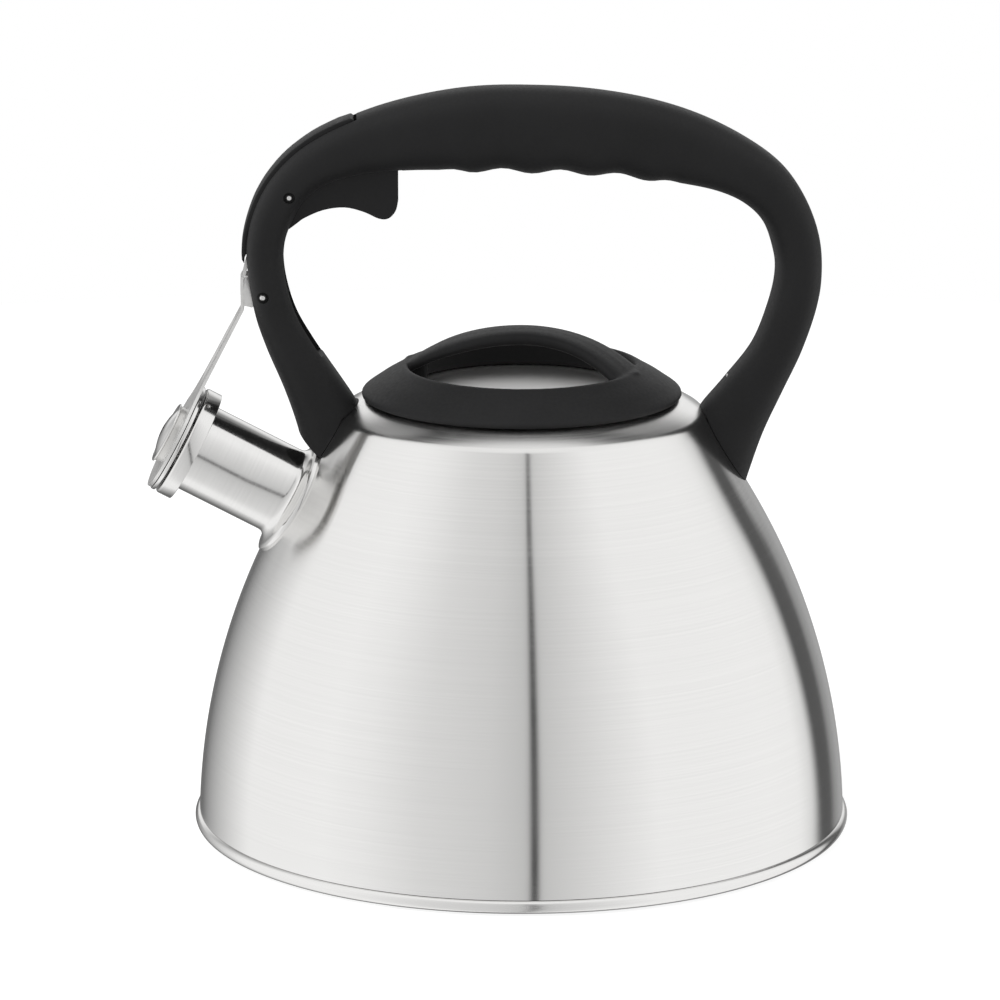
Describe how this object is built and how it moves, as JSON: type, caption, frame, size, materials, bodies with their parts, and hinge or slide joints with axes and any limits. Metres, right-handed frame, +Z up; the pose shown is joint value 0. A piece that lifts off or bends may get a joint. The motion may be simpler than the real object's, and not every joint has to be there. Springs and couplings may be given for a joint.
{
  "type": "stovetop whistling kettle",
  "caption": "Stovetop kettle with a brushed steel body, a black loop handle with a finger trigger, a lift-off lid and a short spout closed by a hinged whistle flap.",
  "frame": {"origin": "centre of the flat face that rests on the stove, on the body's axis", "axes": "+Z up; the spout, its flap and the trigger towards -X; the handle loop in the XZ plane; hinge pins along Y"},
  "size_m": [0.2353, 0.2208, 0.2503],
  "materials": {
    "satin_steel": "satin, brushed round the body",
    "polished_steel": "nearly polished, with fine turning lines",
    "plain_steel": "plain sheet and wire",
    "aluminium": "rolled",
    "black_plastic": "soft-touch, fine grain",
    "seal_rubber": "matte silicone"
  },
  "bodies": {
    "kettle": {"body_shell": "satin_steel", "bottom_pan": "polished_steel", "heat_core": "aluminium", "base_cap": "satin_steel", "spout_tube": "polished_steel", "spout_collar": "polished_steel", "handle_bracket_left": "plain_steel", "handle_bracket_right": "plain_steel", "handle_loop": "black_plastic", "handle_screws": "plain_steel", "trigger_pin": "plain_steel", "arm_pin": "plain_steel"},
    "trigger": {"trigger_lever": "black_plastic"},
    "flap": {"flap_arm": "polished_steel", "flap_disc": "polished_steel", "whistle_dome": "polished_steel", "whistle_plate": "plain_steel", "flap_rivet": "plain_steel", "return_spring": "plain_steel"},
    "lid": {"lid_grip": "black_plastic", "lid_plate": "satin_steel", "lid_seal": "seal_rubber", "lid_screws": "plain_steel"}
  },
  "joints": [
    {"name": "trigger_pull", "type": "hinge", "parent": "kettle", "child": "trigger", "pos_m": [-0.0768, 0, 0.2153], "axis": [0, -1, 0], "range_deg": [0, 6.5], "stiffness_Nm_per_rad": 0.3, "springref_deg": -17.19},
    {"name": "flap_swing", "type": "hinge", "parent": "kettle", "child": "flap", "pos_m": [-0.0857, 0, 0.182], "axis": [0, 1, 0], "range_deg": [0, 27]},
    {"name": "lid_lift", "type": "slide", "parent": "kettle", "child": "lid", "axis": [0, 0, 1], "range_m": [0, 0.04]}
  ],
  "couplings": [
    {"joint": "flap_swing", "follows": "trigger_pull", "ratio": 4.1}
  ]
}
